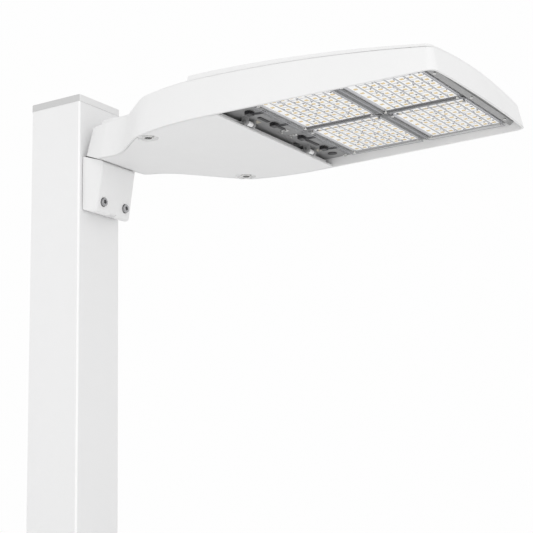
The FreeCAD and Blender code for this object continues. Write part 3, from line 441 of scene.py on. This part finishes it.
def make_pads(number):
    """White pads: one long strip beside the ribbed band, then one tile per emitter."""
    xs, ys = module_grid(number)
    level = low("led_board_" + number).z
    step = ys[1] - ys[0]

    def build(bm):
        depth = PAD_DEPTH / 2
        add_block(bm, (xs[0] - depth, ys[0] - step * 0.42, level - 0.25 * MM),
                  (xs[0] + depth, ys[-1] + step * 0.44, level))
        for x in xs[1:]:
            for y in ys:
                add_block(bm, (x - depth, y - step * 0.43, level - 0.25 * MM),
                          (x + depth, y + step * 0.43, level))

    return piece("pads_" + number, build, "solder_white", soften=0.1 * MM)


def make_components(number):
    """Small dark parts on the board beside the emitters, and a round plug at one corner."""
    xs, ys = module_grid(number)
    level = low("led_board_" + number).z
    step = ys[1] - ys[0]
    chance = random.Random(int(number) * 7)

    def build(bm):
        for x in xs[1:]:
            for y in ys[:-1]:
                if chance.random() < 0.5:
                    continue
                where = Vector((x + PAD_DEPTH * chance.uniform(0.2, 0.4), y + step * 0.5, level - 0.45 * MM))
                size = Vector((0.9, 1.3, 0.45)) * MM
                add_block(bm, where - size, where + size)
        add_disc(bm, (xs[0] - 1.0 * MM, ys[0] - step * 0.2, level - 0.6 * MM), 1.7 * MM, 1.0 * MM)

    return piece("components_" + number, build, "black_plastic", soften=0.1 * MM)


def make_marks(number):
    """Blue-grey parts beside each emitter."""
    xs, ys = module_grid(number)
    level = low("led_board_" + number).z
    step = ys[1] - ys[0]
    chance = random.Random(int(number) * 11)

    def build(bm):
        for x in xs[1:]:
            for y in ys:
                side = chance.choice((-1, 1))
                shift = step * chance.uniform(-0.3, 0.3)
                where = Vector((x + side * PAD_DEPTH * 0.42, y + shift, level - 0.4 * MM))
                size = Vector((0.6, chance.uniform(0.8, 2.4), 0.3)) * MM
                add_block(bm, where - size, where + size)

    return piece("marks_" + number, build, "mark_blue", soften=0.05 * MM)


def make_grooves(number):
    """Grey grooves of the board between the lines of pads."""
    xs, ys = module_grid(number)
    level = low("led_board_" + number).z
    step = ys[1] - ys[0]

    def build(bm):
        for x, after in zip(xs[:-1], xs[1:]):
            middle = (x + after) / 2
            add_block(bm, (middle - 0.55 * MM, ys[0] - step * 0.45, level - 0.12 * MM),
                      (middle + 0.55 * MM, ys[-1] + step * 0.45, level))

    return piece("grooves_" + number, build, "groove_grey")


def make_ribbed_band(number, y_from, y_to, reach):
    """Fine cross-cut ribs moulded along the edge of the module that faces the door."""
    top = low("led_board_" + number).z

    def build(bm):
        add_block(bm, (reach - BAND_WIDTH, y_from, top - 1.0 * MM), (reach, y_to, top))
        count = int((y_to - y_from) / RIB_PITCH)
        pitch = (y_to - y_from) / count
        for k in range(RIBS):
            x = reach - BAND_WIDTH + (k + 0.5) * BAND_WIDTH / RIBS
            for m in range(count):
                y = y_from + (m + 0.5) * pitch
                add_block(bm, (x - 0.6 * MM, y - pitch * 0.36, top - 2.2 * MM),
                          (x + 0.6 * MM, y + pitch * 0.36, top - 0.9 * MM))

    return piece("ribbed_band_" + number, build, "rib_grey")


def make_rim_lines(number):
    """Dark edge round each optic plate, just under its rim."""
    first, last = low("optic_" + number), high("optic_" + number)
    wide = 1.6 * MM

    def build(bm):
        over = optic_face - 0.01 * MM
        under = optic_face - 0.32 * MM
        for a, b in (((first.x, first.y), (last.x, first.y + wide)),
                     ((first.x, last.y - wide), (last.x, last.y)),
                     ((first.x, first.y + wide), (first.x + wide, last.y - wide)),
                     ((last.x - wide, first.y + wide), (last.x, last.y - wide))):
            add_block(bm, (*a, under), (*b, over))

    return piece("rim_lines_" + number, build, "groove_grey", soften=0.1 * MM)


def make_gap_strips():
    """Dark strips on the tray between the modules and beside them."""
    near, far = low("optic_1"), high("optic_3")
    gap_from, gap_to = high("optic_1").x, low("optic_2").x
    side_from, side_to = high("optic_1").y, low("optic_3").y
    end = high("optic_2").x
    clear = 0.4 * MM

    def build(bm):
        top, under = tray_face - 0.05 * MM, tray_face - 0.8 * MM
        add_block(bm, (gap_from + clear, near.y, under), (gap_to - clear, far.y, top))
        for x_from, x_to in ((near.x, gap_from), (gap_to, end)):
            add_block(bm, (x_from, side_from + clear, under), (x_to, side_to - clear, top))

    return piece("gap_strips", build, "black_rubber")


# ---------------------------------------------------------------- bare strip of the tray
def make_clips():
    """Bright spring clips and small tabs between the plug housings."""
    def build(bm):
        for y in (-8.0, 18.0, 104.0):
            add_block(bm, at(350, y - 4, 12.6), at(364, y + 4, 13.4))
            add_block(bm, at(352, y - 1.2, 9.6), at(354, y + 1.2, 12.8))
            add_block(bm, at(360, y - 4, 10.6), at(362.5, y - 2.2, 12.8))

    return piece("spring_clips", build, "nickel", soften=0.3 * MM)


def make_channels():
    """Dark wire channels and the round plug in the tray's bare strip."""
    def build(bm):
        for y_from, y_to in ((-84.0, -58.0), (-32.0, -16.0), (50.0, 84.0)):
            add_block(bm, at(358, y_from, 12.3), at(364, y_to, 13.4))
        add_disc(bm, at(357, 136, 12.9), 7.5 * MM, 1.0 * MM, 28)

    return piece("wire_channels", build, "black_plastic", soften=0.4 * MM)


def make_labels():
    """Beige tabs beside the hinges on the tray's bare strip."""
    def build(bm):
        for y in (-68.0, 107.0):
            add_block(bm, at(343.5, y - 6, 12.7), at(351.5, y + 6, 13.4))

    return piece("strip_labels", build, "label_beige", soften=0.2 * MM)


def make_nose_screws():
    """Bright screw heads at the ends and middle of the nose strip."""
    def build(bm):
        for reach, y in ((648.5, 124.0), (648.5, -112.0), (648.5, 6.0)):
            add_disc(bm, at(reach, y, 10.0), 2.6 * MM, 1.4 * MM)

    return piece("nose_screws", build, "nickel", soften=0.3 * MM)


def bolt_socket_painted_shade():
    """Dark discs on the sockets in the heads of the two low bracket bolts: painted shade of the socket
    recesses.
    """
    first, last = low("bracket_lower_bolts"), high("bracket_lower_bolts")
    level = (first.z + last.z) / 2

    def build(bm):
        for y in (first.y + SOCKET_HEAD, last.y - SOCKET_HEAD):
            # Painted shade: a black disc over each socket recess.
            add_disc(bm, (last.x + 0.05 * MM, y, level), 2.6 * MM, 0.3 * MM, 6, "X")

    return piece("bolt_socket_shade_discs", build, "black_plastic")


def add_half_moon(bm, centre, radius, gap, side, thick):
    """Half of a disc on one side of a slot that runs along X."""
    start = math.asin(gap / radius)
    angles = [start + (math.pi - 2 * start) * k / 14 for k in range(15)]
    ring = [Vector(centre) + Vector((radius * math.cos(a), side * radius * math.sin(a), 0)) for a in angles]
    under = [bm.verts.new(p) for p in ring]
    over = [bm.verts.new(p + Vector((0, 0, thick))) for p in ring]
    bm.faces.new(under)
    bm.faces.new(over[::-1])
    for k in range(len(ring)):
        m = (k + 1) % len(ring)
        bm.faces.new((under[k], under[m], over[m], over[k]))


def fastener_face(name, node, body):
    """Dark middle of a quarter-turn fastener, either side of its slot."""
    first, last = low(node), high(node)
    middle = (first + last) / 2

    def build(bm):
        for side in (-1, 1):
            add_half_moon(bm, (middle.x, middle.y, first.z - 0.1 * MM), 5.4 * MM, 1.2 * MM, side, 0.3 * MM)

    return piece(name, build, "black_plastic", body)


def make_nose_strip():
    """Dull metal strip that closes the gap between the modules and the nose wall."""
    def build(bm):
        corners = [at(645.5, -128, 8.6), at(652.0, -128, 12.4), at(652.0, -128, 13.2), at(645.5, -128, 9.4)]
        near = [bm.verts.new(c) for c in corners]
        far = [bm.verts.new(c + Vector((0, STRIP_LENGTH, 0))) for c in corners]
        bm.faces.new(near)
        bm.faces.new(far[::-1])
        for k in range(4):
            m = (k + 1) % 4
            bm.faces.new((near[k], near[m], far[m], far[k]))

    return piece("nose_strip", build, "dull_metal", soften=0.1 * MM)


# ---------------------------------------------------------------- put together
make_camera()
make_studio()
dress_nodes()
for number in "1234":
    make_pads(number)
    make_components(number)
    make_marks(number)
    make_grooves(number)
    make_rim_lines(number)
    lowest, highest = low("optic_" + number), high("optic_" + number)
    make_ribbed_band(number, lowest.y + 1.5 * MM, highest.y - 1.5 * MM, lowest.x - 0.2 * MM)
make_gap_strips()
make_clips()
make_channels()
make_labels()
make_nose_screws()
bolt_socket_painted_shade()
fastener_face("fastener_middle_near", "door_fastener_near", "fastener_near")
fastener_face("fastener_middle_far", "door_fastener_far", "fastener_far")
make_nose_strip()
